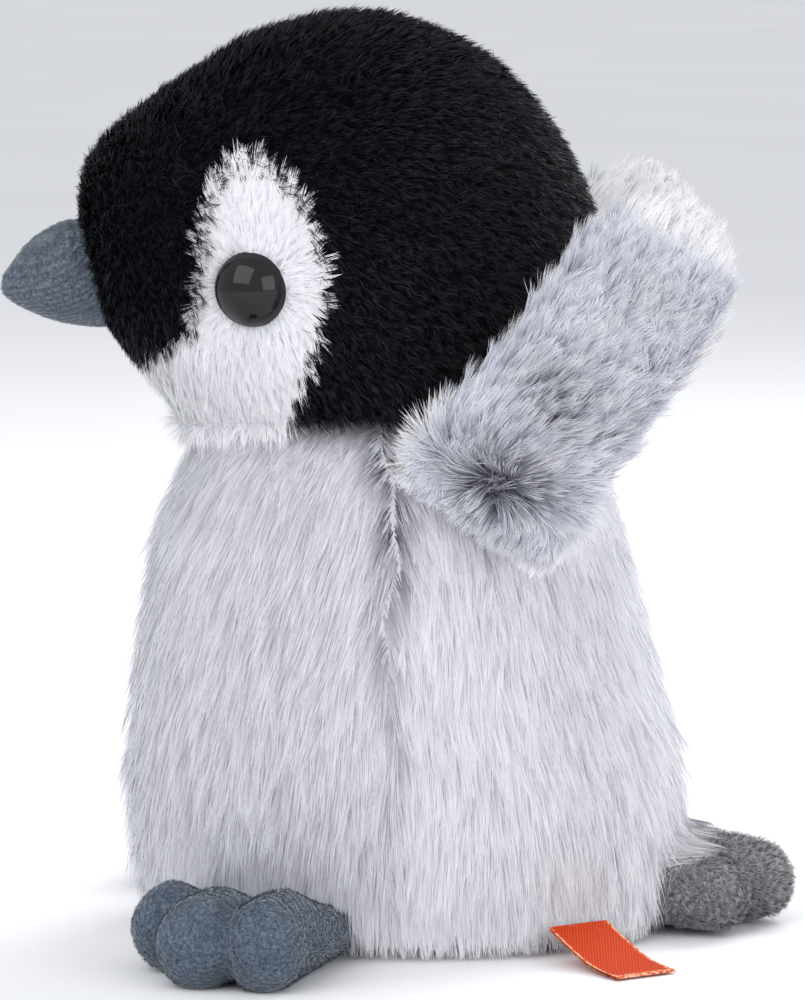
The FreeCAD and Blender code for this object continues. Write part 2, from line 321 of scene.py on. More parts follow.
def pile(name, skin, weights, count, seed, flow, length, width, lift, tip_lift, clump, pull,
         wander, roll=0.7, floor=0.4 * MM, rings=RINGS, dark=None, soft=0.0, clear=None):
    """Grows combed and clumped strands. flow gives the way the pile lies at each root.

    length and lift may be a number or a function of the roots; lift and tip_lift are the
    angles above the skin at root and tip, in radians; clump is the clumps' size; pull is how
    far the tips of a clump come together; wander is how much the strands' ways differ, and
    roll how far they turn about themselves. floor is the lowest level that they reach. dark
    gives how far each root takes the under colour, from 0 to 1: a real undertone on the
    wings, and on the torso the grey undertone with painted shade along its parted seam. soft
    is how much a strand takes the skin's shading. clear moves points out of whatever the pile
    lies over.
    """
    rng = np.random.default_rng(seed)
    roots, normals = skin.scatter(weights, count, rng)
    centres, member = clumps(roots, clump, rng)
    number = len(centres)
    tangent = flow(roots) + wander * rng.normal(size=(number, 3))[member]
    tangent = tangent + OWN_WANDER * wander * rng.normal(size=(count, 3))
    tangent = unit(across_normals(tangent, normals))
    size = each(length, roots) * (1 + RAGGED * rng.uniform(-1, 1, number)[member])
    size = size * rng.uniform(1 - RAGGED, 1, count)
    angle = each(lift, roots) + CLUMP_TILT * rng.normal(size=number)[member]
    angle = angle + OWN_TILT * rng.normal(size=count)
    last = np.minimum(angle, tip_lift + TIP_TILT * rng.normal(size=count))
    stops = (*rings, 1.0)
    lines = bent_lines(roots, normals, tangent, size, angle, last, stops)
    to_centre = across_normals(centres[member] - roots, normals)
    for i, stop in enumerate(stops):
        lines[i] = lines[i] + to_centre * pull * stop**PULL_POWER
        if clear is not None and stop > 0:
            lines[i] = clear(lines[i])
    along = unit(lines[-1] - lines[0])
    side = unit(np.cross(along, normals))
    turn = roll * rng.uniform(-1, 1, count)[:, None]
    side = side * np.cos(turn) + np.cross(along, side) * np.sin(turn)
    broad = width * rng.uniform(*WIDTHS, count)[:, None]
    corners = []
    for line, stop in zip(lines, rings):
        half = side * broad * (1 - NARROWING * stop) / 2
        corners += [line - half, line + half]
    verts = np.stack([*corners, lines[-1]], axis=1)
    verts[:, :, 2] = np.maximum(verts[:, :, 2], floor)
    per = verts.shape[1]
    tone = 0.6 * rng.random(number)[member] + 0.4 * rng.random(count)
    reach = np.repeat(stops, [2] * len(rings) + [1])
    shade = each(dark or 0.0, roots)
    values = {
        "along": np.tile(reach, (count, 1)),
        "tone": np.repeat(tone[:, None], per, 1),
        "dark": np.repeat(shade[:, None], per, 1),
    }
    facing = unit(np.cross(side, along) * (1 - soft) + normals * soft)
    round_off = ROUND_SHADE * np.array([-1.0, 1.0] * len(rings) + [0.0])
    shading = unit(facing[:, None, :] + round_off[None, :, None] * side[:, None, :])
    return strand_mesh(name, verts, values, shading if soft > 0 else None)


def tree_of(name):
    """A search tree over a CAD node's surface."""
    bm = bmesh.new()
    bm.from_mesh(NODES[name].data)
    tree = BVHTree.FromBMesh(bm)
    bm.free()
    return tree


def outward_from(joint, node):
    """The level direction from a joint to the middle of what it carries."""
    way = points_of(NODES[node]).mean(axis=0) - joint_place(joint)
    way[2] = 0
    return unit(way)


def lying_over(name, joint, margin, slide):
    """A function that lays points which would be in or under a CAD node over it.

    Each is lifted to margin above the node, and slides away from the node's joint by part of
    its depth, as hair does that hangs over a ledge.
    """
    tree = tree_of(name)
    corners = points_of(NODES[name])
    low, high = corners.min(axis=0) - margin, corners.max(axis=0) + margin
    high[2] += margin
    way = Vector(outward_from(joint, name))
    down = Vector((0, 0, -1))

    def top(place):
        hit = tree.ray_cast(Vector((place.x, place.y, high[2] + margin)), down)[0]
        return None if hit is None else hit.z + margin

    def clear(points):
        out = points.copy()
        for i in np.flatnonzero(((points > low) & (points < high)).all(axis=1)):
            place = Vector(points[i])
            level = top(place)
            if level is not None and place.z < level:
                place += way * (slide * (level - place.z))
                place.z = max(place.z, top(place) or place.z)
                out[i] = place
        return out

    return clear


def strand_mesh(name, verts, values, shading):
    """One piece from the strands' corners: quads up to the last ring, and a triangle at the tip.

    In the UV layer, each strand has its own cell of a square grid.
    """
    count, per, _ = verts.shape
    reach = values["along"]
    quads = (per - 1) // 2 - 1
    pattern = []
    sizes = []
    for q in range(quads):
        low = 2 * q
        pattern += [low, low + 1, low + 3, low + 2]
        sizes.append(4)
    pattern += [per - 3, per - 2, per - 1]
    sizes.append(3)
    loops = (np.array(pattern)[None, :] + per * np.arange(count)[:, None]).ravel()
    sizes = np.tile(sizes, count)
    mesh = bpy.data.meshes.new(name)
    mesh.vertices.add(count * per)
    mesh.vertices.foreach_set("co", verts.ravel())
    mesh.loops.add(len(loops))
    mesh.loops.foreach_set("vertex_index", loops.astype(np.int32))
    mesh.polygons.add(len(sizes))
    starts = np.concatenate([[0], np.cumsum(sizes)[:-1]])
    mesh.polygons.foreach_set("loop_start", starts.astype(np.int32))
    mesh.update(calc_edges=True)
    for label, value in values.items():
        attribute = mesh.attributes.new(label, "FLOAT", "POINT")
        attribute.data.foreach_set("value", value.ravel().astype(np.float32))
    across = math.ceil(math.sqrt(count))
    row, column = np.divmod(np.arange(count), across)
    side = np.where(np.arange(per) % 2, 0.75, 0.25)
    side[-1] = 0.5
    u = (column[:, None] + side[None, :]) / across
    v = (row[:, None] + 0.12 + 0.76 * reach) / across
    uv = np.stack([u.ravel(), v.ravel()], axis=1)[loops]
    layer = mesh.uv_layers.new(name="OFBake")
    layer.data.foreach_set("uv", uv.ravel().astype(np.float32))
    mesh.shade_smooth()
    fur = add(name, mesh)
    if shading is not None:
        mesh.normals_split_custom_set_from_vertices(shading.reshape(-1, 3))
        fur.visible_shadow = False  # pale fibres let light through, so they hardly shade the rest
    return fur


# ---------------------------------------------------------------- materials

WHOLE = (1.0, 1.0, 1.0)  # multiplying by it changes nothing
MIXED = 2  # the colour output of a mix node; its other outputs have the same name
MIX_INPUTS = (0, 6, 7)  # the factor and the two colours, which share their names too


class Nodes:
    """A small helper for building one material's nodes."""

    def __init__(self, name):
        self.material = bpy.data.materials.new(name)
        self.material.use_nodes = True
        self.tree = self.material.node_tree
        self.tree.nodes.clear()
        self.shader = self.tree.nodes.new("ShaderNodeBsdfPrincipled")
        self.link(self.shader, 0, self.tree.nodes.new("ShaderNodeOutputMaterial"), 0)

    def link(self, a, out, b, into):
        self.tree.links.new(a.outputs[out], b.inputs[into])

    def new(self, kind, **sockets):
        node = self.tree.nodes.new(kind)
        for key, value in sockets.items():
            node.inputs[key.replace("_", " ")].default_value = value
        return node

    def attribute(self, name):
        node = self.new("ShaderNodeAttribute")
        node.attribute_name = name
        return node

    def ramp(self, source, out, *stops):
        node = self.new("ShaderNodeValToRGB")
        ramp = node.color_ramp
        while len(ramp.elements) < len(stops):
            ramp.elements.new(0.5)
        for element, (place, colour) in zip(ramp.elements, stops):
            element.position = place
            element.color = (*colour, 1)
        self.link(source, out, node, 0)
        return node

    def mix(self, kind, factor, a, b):
        """Mixes two colours, given as (node, output) pairs; the factor is a pair or a number."""
        node = self.new("ShaderNodeMix")
        node.data_type = "RGBA"
        node.blend_type = kind
        for place, value in zip(MIX_INPUTS, (factor, a, b)):
            if isinstance(value, tuple):
                self.link(*value, node, place)
            else:
                node.inputs[place].default_value = value
        return node

    def placed(self, node):
        """The node, laid out in the piece's own axes."""
        self.link(self.new("ShaderNodeTexCoord"), "Object", node, "Vector")
        return node

    def noise(self, scale, detail):
        return self.placed(self.new("ShaderNodeTexNoise", Scale=scale, Detail=detail))

    def bump(self, source, out, strength, distance):
        node = self.new("ShaderNodeBump", Strength=strength, Distance=distance)
        self.link(source, out, node, "Height")
        self.link(node, 0, self.shader, "Normal")

    def set(self, **values):
        for key, value in values.items():
            self.shader.inputs[key.replace("_", " ")].default_value = value

    def colour(self, node, out=0):
        self.link(node, out, self.shader, "Base Color")


def pile_material(name, root, middle, tip, dull, patch_scale, patch_depth, under=None,
                  sheen=0.25, roughness=0.75, specular=0.2):
    """Strands that run from a root colour to a tip colour, their darker roots partly the fibres'
    own colour and partly painted shade deep in the pile; dull is the tint of darker strands.

    patch_scale and patch_depth give the size and the strength of slightly darker patches.
    under is the colour that the roots take as far as the dark attribute says: a real undertone, and
    on the torso also painted shade in the parted seam.
    """
    n = Nodes(name)
    along = n.attribute("along")
    # Roots darker than tips: partly the fibres' own colour, partly painted shade deep in the pile.
    base = n.ramp(along, "Fac", (0.0, root), (0.42, middle), (0.8, tip))
    shade = n.ramp(n.attribute("tone"), "Fac", (0.1, dull), (0.75, WHOLE))
    colour = (base, 0)
    if under is not None:
        halfway = tuple((u + m) / 2 for u, m in zip(under, middle))
        deep = n.ramp(along, "Fac", (0.15, under), (0.55, halfway), (0.95, tip))
        colour = (n.mix("MIX", (n.attribute("dark"), "Fac"), colour, (deep, 0)), MIXED)
    toned = n.mix("MULTIPLY", 1.0, colour, (shade, 0))
    patches = n.noise(patch_scale, 2)
    patch = n.ramp(patches, 0, (0.35, (1 - patch_depth,) * 3), (0.65, WHOLE))
    n.colour(n.mix("MULTIPLY", 1.0, (toned, MIXED), (patch, 0)), MIXED)
    n.set(Roughness=roughness, Sheen_Weight=sheen, Sheen_Roughness=0.4)
    n.set(Specular_IOR_Level=specular)
    return n.material


def skin_material(name, light, dark):
    """A knitted backing, seen only between the strands and under the toy."""
    n = Nodes(name)
    weave = n.noise(900.0, 2)
    n.colour(n.ramp(weave, 0, (0.35, dark), (0.65, light)))
    n.bump(weave, 0, 0.3, 0.4 * MM)
    n.set(Roughness=0.95, Specular_IOR_Level=0.1)
    return n.material


def velour_material(name, light, dark, ridge_turn, ridge_strength):
    """Short brushed knit: fine mottling, with ridges across the axis that ridge_turn gives, and
    painted shade in the grooves between the ridges.
    """
    n = Nodes(name)
    fine = n.noise(1400.0, 4)
    broad = n.noise(160.0, 2)
    base = n.ramp(fine, 0, (0.34, dark), (0.66, light))
    cloud = n.ramp(broad, 0, (0.3, (0.8, 0.8, 0.82)), (0.7, WHOLE))
    clouded = n.mix("MULTIPLY", 1.0, (base, 0), (cloud, 0))
    turn = n.placed(n.new("ShaderNodeMapping", Rotation=ridge_turn))
    wave = n.new("ShaderNodeTexWave", Scale=260.0, Distortion=3.0, Detail=2.0, Detail_Scale=2.0)
    n.link(turn, 0, wave, 0)
    # Darker in the grooves between the ridges: painted shade.
    furrow_shade = n.ramp(wave, 0, (0.15, (0.62, 0.63, 0.66)), (0.75, WHOLE))
    n.colour(n.mix("MULTIPLY", ridge_strength, (clouded, MIXED), (furrow_shade, 0)), MIXED)
    height = n.mix("ADD", ridge_strength, (fine, 1), (wave, 0))
    n.bump(height, MIXED, 0.55, 0.5 * MM)
    n.set(Roughness=0.9, Sheen_Weight=0.5, Sheen_Roughness=0.35, Specular_IOR_Level=0.15)
    return n.material


def even_material(name, scale, dark, light, start=0.3, **settings):
    """A colour that hardly varies, for the eyes, their washers and the floor."""
    n = Nodes(name)
    n.colour(n.ramp(n.noise(scale, 2), 0, (start, dark), (0.7, light)))
    n.set(**settings)
    return n.material


def label_material():
    """Ribbed orange ribbon, darker in the grooves between its ribs as painted shade, with a paler
    stitched thread round its rim.
    """
    n = Nodes("label_ribbon")
    rib = n.placed(n.new("ShaderNodeTexWave", Scale=520.0, Distortion=0.4))
    rib.bands_direction = "Y"
    fine = n.noise(1800.0, 3)
    # Darker where the ribs are low: painted shade in the grooves.
    base = n.ramp(rib, 0, (0.2, (0.50, 0.036, 0.003)), (0.8, (0.66, 0.062, 0.006)))
    grain = n.ramp(fine, 0, (0.3, (0.82, 0.80, 0.80)), (0.7, WHOLE))
    woven = n.mix("MULTIPLY", 1.0, (base, 0), (grain, 0))
    stitches = n.noise(1100.0, 1)
    thread = n.ramp(stitches, 0, (0.42, (0.60, 0.08, 0.01)), (0.58, (0.80, 0.42, 0.26)))
    at_rim = n.ramp(n.attribute("rim"), "Fac", (0.90, (0, 0, 0)), (0.94, WHOLE))
    n.colour(n.mix("MIX", (at_rim, 0), (woven, MIXED), (thread, 0)), MIXED)
    n.bump(rib, 0, 0.3, 0.2 * MM)
    n.set(Roughness=0.7, Specular_IOR_Level=0.15)
    return n.material


def pile_name(panel):
    """What the pile of a panel is called: head_crown_gusset gives head_crown_pile."""
    return panel.rsplit("_", 1)[0] + "_pile"


def dress(obj, material, body, slot, *nodes):
    """Gives a piece its material and its body, and hides the CAD nodes it stands for; slot is not
    used.
    """
    obj.data.materials.clear()
    obj.data.materials.append(material)
    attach(obj, body)
    if nodes:
        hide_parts(*nodes)
    return obj


# Its under colour, much darker than the silver backing, is the grey undertone with painted shade in
# the torso's parted seam.
SILVER = pile_material("silver_long_pile", (0.65, 0.65, 0.69), (0.73, 0.73, 0.77),
                       (0.80, 0.80, 0.825), (0.90, 0.90, 0.93), 38.0, 0.06,
                       under=(0.08, 0.08, 0.10))
BLACK = pile_material("black_pile", (0.002, 0.002, 0.003), (0.0035, 0.004, 0.0065),
                      (0.008, 0.009, 0.015), (0.4, 0.4, 0.45), 50.0, 0.25,
                      sheen=0.0, roughness=0.4, specular=0.22)
WHITE = pile_material("white_pile", (0.74, 0.74, 0.77), (0.82, 0.82, 0.845),
                      (0.88, 0.88, 0.895), (0.92, 0.92, 0.94), 60.0, 0.04)
FROSTED = pile_material("frosted_pile", (0.42, 0.425, 0.50), (0.58, 0.585, 0.66),
                        (0.78, 0.78, 0.82), (0.84, 0.85, 0.90), 55.0, 0.12,
                        under=(0.035, 0.035, 0.05))
WING_WHITE = pile_material("white_wing_pile", (0.60, 0.60, 0.62), (0.78, 0.78, 0.79),
                           (0.86, 0.86, 0.86), (0.88, 0.88, 0.90), 60.0, 0.06)
TAIL_GREY = pile_material("tail_plush", (0.15, 0.15, 0.153), (0.28, 0.28, 0.283),
                          (0.50, 0.50, 0.503), (0.72, 0.72, 0.73), 120.0, 0.25)
FOOT_PILE = pile_material("foot_fibres", (0.07, 0.087, 0.12), (0.14, 0.18, 0.235),
                          (0.30, 0.36, 0.43), (0.6, 0.62, 0.66), 200.0, 0.2)
BEAK_PILE = pile_material("beak_fibres", (0.07, 0.082, 0.105), (0.145, 0.175, 0.215),
                          (0.31, 0.36, 0.42), (0.65, 0.67, 0.7), 200.0, 0.2)
GREY_BACKING = skin_material("grey_backing", (0.30, 0.30, 0.34), (0.16, 0.16, 0.19))
SILVER_BACKING = skin_material("silver_backing", (0.66, 0.66, 0.70), (0.52, 0.52, 0.56))
BLACK_BACKING = skin_material("black_backing", (0.012, 0.012, 0.016), (0.004, 0.004, 0.006))
PALE_BACKING = skin_material("pale_backing", (0.62, 0.62, 0.65), (0.40, 0.40, 0.43))
FOOT_VELOUR = velour_material("foot_velour", (0.18, 0.222, 0.28), (0.064, 0.084, 0.112),
                              (0.6, 0.9, 0.3), 0.5)
BEAK_VELOUR = velour_material("beak_velour", (0.20, 0.235, 0.28), (0.075, 0.09, 0.115),
                              (0.2, 0.8, 0.7), 0.9)

# ---------------------------------------------------------------- torso

TORSO_PANELS = ["torso_front_panel", "torso_back_left_panel", "torso_back_right_panel"]
TORSO_PILE = 14 * MM  # the length of its strands
TORSO_STRANDS = (38500, 29000, 29000)
LIE_GAP = 0.9 * MM  # how far above the tail, the label or a foot the torso's pile lies
FOOT_PLACE = joint_place("left_foot_lift")
NECK_CENTRE = joint_place("neck_turn")
SIDE_SEAM_Y = -2 * MM
SEAM_TOP = 104 * MM
SEAM_BOTTOM = 30 * MM


def waves(values, *terms):
    """A sum of sines, for gentle unevenness: each term is (size, wavelength, start)."""
    return sum(size * np.sin(2 * math.pi * values / length + start)
               for size, length, start in terms)


def seam_gap(points):
    """Signed distance behind the side seam, which wanders a little as the pile hides it."""
    wander = waves(points[:, 2], (1.3 * MM, 41 * MM, 0.4), (0.8 * MM, 17 * MM, 2.0))
    return points[:, 1] - SIDE_SEAM_Y - wander


def seam_strength(points):
    """How open the parting is: widest under the wing's front corner, closed near the hem."""
    rise = np.clip((points[:, 2] - SEAM_BOTTOM) / (SEAM_TOP - SEAM_BOTTOM), 0.0, 1)
    uneven = 0.75 + waves(points[:, 2], (0.15, 13 * MM, 1.0), (0.12, 7.3 * MM, 0.0))
    return (0.12 + 0.88 * rise**1.5) * uneven * (np.abs(points[:, 0]) > 20 * MM)


def torso_flow(points):
    """Down the body, forward in front of the side seam, and parting along it."""
    out = np.zeros_like(points)
    out[:, 2] = -1.0
    gap = seam_gap(points)
    behind = gap > 0
    forward = np.clip((points[:, 2] - 10 * MM) / (80 * MM), 0.2, 1)
    out[:, 1] = np.where(behind, 0.03, -0.20 * forward)
    part = bell(gap, 5 * MM) * seam_strength(points)
    out[:, 1] += np.where(behind, 0.55, -0.6) * part
    drift = waves(points[:, 0] + points[:, 1], (0.06, 33 * MM, 0.0))
    out[:, 1] += drift + waves(points[:, 2], (0.05, 47 * MM, 1.0))
    return out


def torso_undertone_and_shade(points):
    """Darkens the roots: along the parted side seam with the grey undertone and painted shade in
    the parting, and faintly in front of it with painted shade alone.
    """
    gap = seam_gap(points)
    # Along the parting: the grey undertone, deepened with painted shade.
    seam = bell(gap, 3.2 * MM) * seam_strength(points)
    # In front of the seam: a faint band of painted shade on the belly.
    ahead = bell(gap + 18 * MM, 17 * MM)
    return np.clip(0.03 + 1.3 * seam + 0.19 * ahead, 0, 1)


def above_foot(points, aside):
    """1 just above a foot's root, fading to nothing; aside is each point's x from the root."""
    beside = np.hypot(aside, points[:, 1] - FOOT_PLACE[1])
    return np.exp(-((beside / (22 * MM)) ** 2) - ((points[:, 2] - 22 * MM) / (10 * MM)) ** 2)


def torso_length(points):
    """Long in the middle and above the feet, shorter at the shoulders and the hem."""
    low = np.interp(points[:, 2], [2 * MM, 10 * MM, 20 * MM], [0.3, 0.62, 1.05])
    high = np.clip((125 * MM - points[:, 2]) / (30 * MM), 0.6, 1)
    longer = 4 * MM * above_foot(points, np.abs(points[:, 0]) - FOOT_PLACE[0])
    return TORSO_PILE * np.minimum(low, high) + longer


def torso_lift(points):
    """Flat on the body, and standing out more just above the feet."""
    feet = sum(above_foot(points, points[:, 0] + x) for x in (-FOOT_PLACE[0], FOOT_PLACE[0]))
    return 0.30 + 0.45 * feet


def torso_ledges():
    """What lays the torso's pile over the pieces that come out from under it."""
    return [
        lying_over("tail_upper_panel", "tail_lift", LIE_GAP, 0.85),
        lying_over("side_label", "label_flip", LIE_GAP, 0.85),
        lying_over("left_foot_upper", "left_foot_lift", LIE_GAP - INSTEP_DROP, 1.2),
        lying_over("right_foot_upper", "right_foot_lift", LIE_GAP - INSTEP_DROP, 1.2),
    ]


def make_torso():
    skin = remeshed("torso_skin", hull(joined(TORSO_PANELS)), 2.2 * MM, 6)
    shrink(skin, 2.3 * MM)
    inflate(skin, 2.0, 1.0 * MM, lambda p: p[:, 2] < 4 * MM)
    points = points_of(skin)
    drop = points[:, 2].min() - 0.3 * MM  # the base goes back down to the ground
    points[:, 2] -= drop * np.clip(1 - points[:, 2] / (14 * MM), 0, 1)
    set_points(skin, points)
    smoothed(skin)
    surface = Skin(skin)
    owner = surface.nearest_panel(TORSO_PANELS)
    open_side = (surface.facing[:, 2] > -0.75) & (surface.centres[:, 2] < 114 * MM)
    ledges = torso_ledges()

    def over_limbs(points):
        for clear in ledges:
            points = clear(points)
        return points

    for i, (panel, count) in enumerate(zip(TORSO_PANELS, TORSO_STRANDS)):
        fur = pile(pile_name(panel), surface, (owner == i) & open_side, count, 10 + i,
                   torso_flow, torso_length, 0.19 * MM, torso_lift, 0.03, 3.4 * MM,
                   pull=0.32, wander=0.10, dark=torso_undertone_and_shade, soft=0.92, clear=over_limbs)
        dress(fur, SILVER, "torso", "silver_long_pile", panel)
    dress(skin, SILVER_BACKING, "torso", "base_fabric", "torso_stuffing", "torso_base_panel")


def make_neck():
    neck = remeshed("neck_padding", joined(["neck_stuffing"]), 2.0 * MM, 4)
    smoothed(shrink(neck, 0.6 * MM))
    dress(neck, PALE_BACKING, "neck", "fibre_filling", "neck_stuffing")


# ---------------------------------------------------------------- head

BLACK_PANELS = ["head_crown_gusset", "head_left_panel", "head_right_panel"]
WHITE_PANELS = ["left_face_patch", "right_face_patch", "chin_panel"]
BLACK_STRANDS = 35000  # on each black panel
WHITE_STRANDS = (17000, 17000, 6000)
CUP_RADIUS = 59 * MM  # the head's skin is bare inside this, round the neck's centre
HELD_RADIUS = 61 * MM  # and the simulation holds it still inside this
BEAK_TUCK = 4 * MM  # how far the beak's open end goes in under the face's pile
EYE_RADIUS = 8.0 * MM
EYE_HEIGHT = 5.2 * MM
SHANK_RADIUS = 2 * MM
SHANK_LENGTH = 13 * MM
DOME_STEPS = 24
TURNED_STEPS = 72


def eye_place(side):
    """(centre of the eye's flat back, the way it looks)."""
    points = points_of(NODES[side + "_eye"])
    shank_end = points[np.abs(points[:, 0]).argmin()]
    dome_top = points[np.abs(points[:, 0]).argmax()]
    look = unit(dome_top - shank_end)
    return dome_top - look * EYE_HEIGHT, look


def beak_root():
    """The middle of the beak's open end."""
    low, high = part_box("beak_upper_panel")
    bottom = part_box("beak_lower_panel")[0]
    return np.array([0, high[1], (bottom[2] + high[2]) / 2])


def head_flow(points):
    """Back from the beak over the crown, and down at the sides."""
    away = unit(points - (beak_root() + np.array([0, 6 * MM, 0])))
    return away + np.array([0, 0.15, -0.55])


def head_length(points):
    """Very short round the beak, a little longer at the neck."""
    near_beak = np.linalg.norm(points - beak_root(), axis=1)
    low = np.clip((118 * MM - points[:, 2]) / (12 * MM), 0, 1)
    return np.interp(near_beak, [12 * MM, 24 * MM], [2.2 * MM, 4.2 * MM]) + 3.5 * MM * low


def face_flow(points):
    """Out from the eye, and down below it."""
    side = np.where(points[:, 0] > 0, 1.0, -1.0)
    centre, _ = eye_place("left")
    from_eye = points - centre
    from_eye[:, 0] = 0
    out = unit(from_eye)
    low = np.clip((centre[2] - points[:, 2]) / (18 * MM), 0, 1)[:, None]
    out = out * (1 - 0.75 * low) + low * np.array([0, 0.10, -1.0])
    out[:, 0] = 0.1 * side
    return out


def face_length(points):
    """Short by the eye, longer at the patch's edge and down the cheek."""
    centre, _ = eye_place("left")
    gap = np.hypot(points[:, 1] - centre[1], points[:, 2] - centre[2])
    return np.interp(gap, [7 * MM, 16 * MM, 30 * MM], [3.2 * MM, 4.6 * MM, 7.0 * MM])


def grows_on_head(surface):
    """Which of the skin's triangles bear pile: not the cup, nor under the beak or the eyes."""
    centres = surface.centres
    from_neck = centres - NECK_CENTRE
    outward = (surface.facing * from_neck).sum(axis=1) > -4 * MM
    grows = outward & (np.linalg.norm(from_neck, axis=1) > CUP_RADIUS)
    under_beak = np.hypot(centres[:, 0], centres[:, 2] - beak_root()[2]) < 8.5 * MM
    grows &= ~(under_beak & (centres[:, 1] < -55 * MM))
    for side in ("left", "right"):
        centre, look = eye_place(side)
        arm = centres - centre
        across = arm - (arm * look).sum(axis=1, keepdims=True) * look
        grows &= ~((np.linalg.norm(across, axis=1) < 7.4 * MM) & (arm @ look > -9 * MM))
    return grows


def make_head():
    panels = BLACK_PANELS + WHITE_PANELS
    skin = remeshed("head_skin", joined([*panels, "head_stuffing"]), 1.8 * MM, 5)
    shrink(skin, 2.4 * MM)
    inflate(skin, 2.0, 1.0 * MM, lambda p: np.linalg.norm(p - NECK_CENTRE, axis=1) < HELD_RADIUS)
    smoothed(skin)
    surface = Skin(skin)
    owner = surface.nearest_panel(panels)
    grows = grows_on_head(surface)
    for i, panel in enumerate(BLACK_PANELS):
        fur = pile(pile_name(panel), surface, (owner == i) & grows, BLACK_STRANDS, 30 + i,
                   head_flow, head_length, 0.2 * MM, 0.85, 0.4, 1.8 * MM,
                   pull=0.3, wander=0.4, roll=1.2)
        dress(fur, BLACK, "head", "black_pile", panel)
    white = len(BLACK_PANELS)  # the first white panel's number
    for i, (panel, count) in enumerate(zip(WHITE_PANELS, WHITE_STRANDS)):
        fur = pile(pile_name(panel), surface, (owner == white + i) & grows, count, 40 + i,
                   face_flow, face_length, 0.17 * MM, 0.42, 0.12, 2.4 * MM,
                   pull=0.35, wander=0.2, soft=0.9)
        dress(fur, WHITE, "head", "white_pile", panel)
    dress(skin, BLACK_BACKING, "head", "black_pile", "head_stuffing")
    skin.data.materials.append(PALE_BACKING)
    pale = face_values(skin, surface, (owner >= white).astype(float)) > 0.5
    skin.data.polygons.foreach_set("material_index", pale.astype(np.int32))


def beak_flow(points):
    return np.tile([0, -1.0, -0.5], (len(points), 1))


def make_beak():
    names = ["beak_upper_panel", "beak_lower_panel", "beak_stuffing"]
    beak = remeshed("beak", joined(names), 0.7 * MM, 4)
    shrink(beak, 0.3 * MM)
    inflate(beak, 2.0, 0.5 * MM, lambda p: p[:, 1] > -68 * MM)
    points = points_of(beak)
    facing_back = np.clip(normals_of(beak)[:, 1], 0, 1)
    points[:, 1] += facing_back * BEAK_TUCK
    from_seam = points[:, 2] - (beak_root()[2] - 1.5 * MM)
    crease = bell(from_seam, 0.7 * MM) * np.clip(np.abs(points[:, 0]) / (4 * MM), 0, 1)
    set_points(beak, points - normals_of(beak) * crease[:, None] * 0.5 * MM)
    smoothed(beak)
    surface = Skin(beak)
    fur = pile("beak_fuzz", surface, surface.centres[:, 1] < -62 * MM, 9000, 50, beak_flow,
               0.7 * MM, 0.12 * MM, 0.7, 0.3, 0.9 * MM, pull=0.3, wander=0.5, rings=SHORT_RINGS)
    dress(fur, BEAK_PILE, "head", "beak_velour", "beak_upper_panel")
    dress(beak, BEAK_VELOUR, "head", "beak_velour", "beak_lower_panel", "beak_stuffing")


def turned(name, profile, centre, look):
    """A round piece: a profile of (radius, height), from the axis to the axis, turned about it."""
    bm = bmesh.new()
    last = []
    for radius, height in profile:
        ring = []
        for i in range(TURNED_STEPS if radius > 0 else 1):
            angle = 2 * math.pi * i / TURNED_STEPS
            ring.append(bm.verts.new((radius * math.cos(angle), radius * math.sin(angle), height)))
        for i in range(TURNED_STEPS if last else 0):
            corners = [last[i % len(last)], last[(i + 1) % len(last)],
                       ring[(i + 1) % len(ring)], ring[i % len(ring)]]
            bm.faces.new(list(dict.fromkeys(corners)))
        last = ring
    bmesh.ops.recalc_face_normals(bm, faces=bm.faces)
    mesh = bpy.data.meshes.new(name)
    bm.to_mesh(mesh)
    bm.free()
    turn = Vector((0, 0, 1)).rotation_difference(Vector(look)).to_matrix().to_4x4()
    mesh.transform(Matrix.Translation(Vector(centre)) @ turn)
    return smoothed(add(name, mesh))


def make_eyes():
    """Glossy domes on shanks; the washers behind the skin keep their CAD shape."""
    gloss = even_material("eye_gloss", 60.0, (0.004, 0.004, 0.005), (0.010, 0.009, 0.010), 0.4,
                          Roughness=0.05, Specular_IOR_Level=0.36)
    hidden_plastic = even_material("washer_plastic", 80.0, (0.76, 0.76, 0.74), (0.82, 0.82, 0.80),
                                   Roughness=0.45)
    ball = (EYE_RADIUS**2 + EYE_HEIGHT**2) / (2 * EYE_HEIGHT)
    sweep = math.asin(EYE_RADIUS / ball)
    dome = []
    for i in range(DOME_STEPS):
        angle = sweep * (1 - i / DOME_STEPS)
        dome.append((ball * math.sin(angle), ball * math.cos(angle) - ball + EYE_HEIGHT))
    dome.append((0, EYE_HEIGHT))
    flange = [(0, -SHANK_LENGTH), (SHANK_RADIUS, -SHANK_LENGTH), (SHANK_RADIUS, -0.6 * MM),
              (7.4 * MM, -0.6 * MM), (7.9 * MM, -0.3 * MM)]
    for side in ("left", "right"):
        centre, look = eye_place(side)
        eye = turned(side + "_glossy_eye", flange + dome, centre, look)
        dress(eye, gloss, "head", "eye_plastic", side + "_eye")
        washer = NODES[side + "_eye_washer"].data
        washer.materials.clear()
        washer.materials.append(hidden_plastic)


# ---------------------------------------------------------------- wings

WING_CROWN = 5 * MM  # the pile parts this far up the wing, and runs away from there
WING_STRANDS = 20000  # on each side of a wing


def wing_axes(side):
    """(root, along the wing, towards its back edge, out of its outer face)."""
    root = joint_place(side + "_wing_flap")
    edge = joint_axis(side + "_wing_flap")
    edge = edge * np.sign(edge[1])
    points = points_of(NODES[side + "_wing_stuffing"])
    along = points.mean(axis=0) - root
    along = unit(along - (along @ edge) * edge)
    out = np.cross(edge, along)
    out = out * np.sign(out[0]) * (1 if side == "left" else -1)
    return root, along, edge, out


